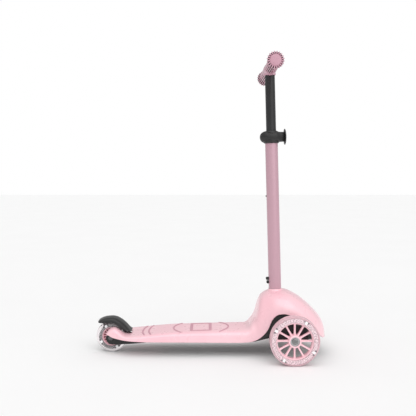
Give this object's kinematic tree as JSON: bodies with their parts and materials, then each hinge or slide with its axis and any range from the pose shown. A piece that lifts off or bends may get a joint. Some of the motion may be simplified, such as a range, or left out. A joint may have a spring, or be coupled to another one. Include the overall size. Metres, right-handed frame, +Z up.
{
  "type": "kick scooter",
  "caption": "Child's three-wheeled kick scooter that steers by leaning, with a height-adjustable T-bar on a plug-in stem, light-up wheels and a fender brake.",
  "frame": {"origin": "on the floor under the middle of the bounding box", "axes": "+X forward, +Y to the rider's left, +Z up along the stem"},
  "size_m": [0.586, 0.269, 0.7408],
  "materials": {
    "pink_plastic": "glossy pastel pink moulding",
    "mauve_paint": "satin dusky pink paint on an aluminium tube",
    "grip_inlay": "matt dusky pink grip rubber",
    "cap_plastic": "satin dusky pink plastic",
    "black_plastic": "satin black, fine moulded grain",
    "black_tube": "satin black coating",
    "dark_rubber": "matt black elastomer",
    "clear_tyre": "clear glossy polyurethane, faintly pink",
    "light_ring": "white and silver light ring",
    "zinc_steel": "bright zinc plate",
    "dark_steel": "dark oiled steel",
    "bearing_steel": "ground bearing steel",
    "aluminium": "turned aluminium"
  },
  "bodies": {
    "deck": {"deck_shell": "pink_plastic", "chassis_tray": "black_plastic", "rear_fork": "black_plastic", "stem_socket": "black_plastic", "truck_mount": "black_plastic", "kingpin": "zinc_steel", "rear_axle": "zinc_steel", "rear_axle_nut": "zinc_steel", "rear_spacer_left": "aluminium", "rear_spacer_right": "aluminium", "brake_hinge_pin": "zinc_steel", "brake_return_spring": "dark_steel", "chassis_screw_1": "dark_steel", "chassis_screw_2": "dark_steel", "chassis_screw_3": "dark_steel", "chassis_screw_4": "dark_steel", "foot_grip_bow_1": "grip_inlay", "foot_grip_bow_2": "grip_inlay", "foot_grip_bracket_rear": "grip_inlay", "foot_grip_bracket_front": "grip_inlay", "foot_grip_frame": "grip_inlay"},
    "front_truck": {"front_truck": "black_plastic", "truck_bush_upper": "dark_rubber", "truck_bush_lower": "dark_rubber", "front_axle_left": "zinc_steel", "front_axle_right": "zinc_steel"},
    "front_wheel_left": {"front_left_wheel_core": "pink_plastic", "front_left_tyre": "clear_tyre", "front_left_light_ring": "light_ring", "front_left_bearing_outer": "bearing_steel", "front_left_bearing_inner": "bearing_steel", "front_left_spacer": "aluminium"},
    "front_wheel_right": {"front_right_wheel_core": "pink_plastic", "front_right_tyre": "clear_tyre", "front_right_light_ring": "light_ring", "front_right_bearing_outer": "bearing_steel", "front_right_bearing_inner": "bearing_steel", "front_right_spacer": "aluminium"},
    "rear_wheel": {"rear_wheel_core": "pink_plastic", "rear_tyre": "clear_tyre", "rear_light_ring": "light_ring", "rear_bearing_outer": "bearing_steel", "rear_bearing_inner": "bearing_steel", "rear_spacer": "aluminium"},
    "brake": {"brake_fender": "black_plastic", "brake_pad": "dark_steel"},
    "stem": {"stem_tube": "mauve_paint", "clamp_collar": "black_plastic", "clamp_stud": "zinc_steel", "height_stop_pin": "zinc_steel"},
    "release_button": {"release_button": "black_plastic"},
    "clamp_knob": {"clamp_knob": "black_plastic"},
    "handlebar": {"inner_tube": "black_tube", "t_bar": "pink_plastic", "grip_left": "pink_plastic", "grip_right": "pink_plastic", "grip_cap_left": "cap_plastic", "grip_cap_right": "cap_plastic"}
  },
  "joints": [
    {"name": "lean_steer", "type": "hinge", "parent": "deck", "child": "front_truck", "pos_m": [0.199, 0, 0.062], "axis": [0.8192, 0, 0.5736], "range_deg": [-10, 10], "stiffness_Nm_per_rad": 80},
    {"name": "front_wheel_left_spin", "type": "hinge", "parent": "front_truck", "child": "front_wheel_left", "pos_m": [0.202, 0.1195, 0.06], "axis": [0, 1, 0], "continuous": true},
    {"name": "front_wheel_right_spin", "type": "hinge", "parent": "front_truck", "child": "front_wheel_right", "pos_m": [0.202, -0.1195, 0.06], "axis": [0, 1, 0], "continuous": true},
    {"name": "rear_wheel_spin", "type": "hinge", "parent": "deck", "child": "rear_wheel", "pos_m": [-0.253, 0, 0.04], "axis": [0, 1, 0], "continuous": true},
    {"name": "brake_press", "type": "hinge", "parent": "deck", "child": "brake", "pos_m": [-0.209, 0, 0.0495], "axis": [0, -1, 0], "range_deg": [0, 3.5], "stiffness_Nm_per_rad": 6, "springref_deg": -3.44},
    {"name": "stem_release", "type": "slide", "parent": "deck", "child": "stem", "axis": [-0.0302, 0, 0.9995], "range_m": [0, 0.05]},
    {"name": "button_push", "type": "slide", "parent": "stem", "child": "release_button", "axis": [0.9995, 0, 0.0302], "range_m": [0, 0.003], "stiffness_N_per_m": 600, "springref_m": -0.001},
    {"name": "clamp_turn", "type": "hinge", "parent": "stem", "child": "clamp_knob", "pos_m": [0.15635, 0, 0.55125], "axis": [0.9995, 0, 0.0302], "range_deg": [-360, 180]},
    {"name": "height_adjust", "type": "slide", "parent": "stem", "child": "handlebar", "axis": [-0.0302, 0, 0.9995], "range_m": [-0.12, 0]}
  ]
}
